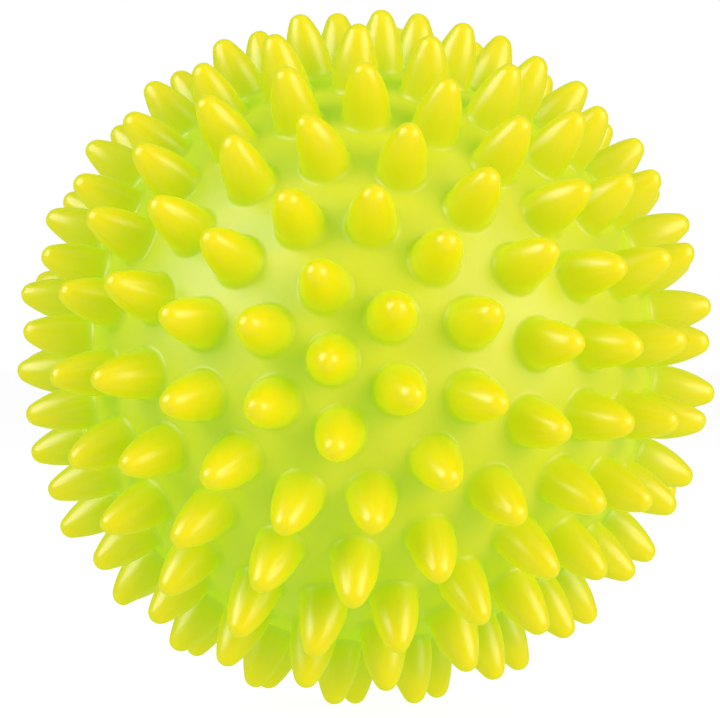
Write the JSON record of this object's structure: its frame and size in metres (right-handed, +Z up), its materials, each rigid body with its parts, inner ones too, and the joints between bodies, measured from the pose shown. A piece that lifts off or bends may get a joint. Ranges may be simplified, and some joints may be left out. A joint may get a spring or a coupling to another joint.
{
  "type": "massage ball",
  "caption": "Hand massage ball: hollow soft shell covered in rounded moulded spikes, with a small grommet valve and pull-out stopper.",
  "frame": {"origin": "centre of the ball", "axes": "+Y out of the pole that holds the valve, -Y out of the front pole spike, +Z up"},
  "size_m": [0.0898, 0.0889, 0.0898],
  "materials": {
    "soft_pvc": "glossy translucent lime yellow",
    "valve_rubber": "satin pale lime",
    "stopper_plastic": "satin white"
  },
  "bodies": {
    "ball": {"ball_shell": "soft_pvc", "valve_body": "valve_rubber"},
    "plug": {"valve_plug": "stopper_plastic"}
  },
  "joints": [
    {"name": "plug_pull", "type": "slide", "parent": "ball", "child": "plug", "axis": [0, 1, 0], "range_m": [0, 0.012]}
  ]
}
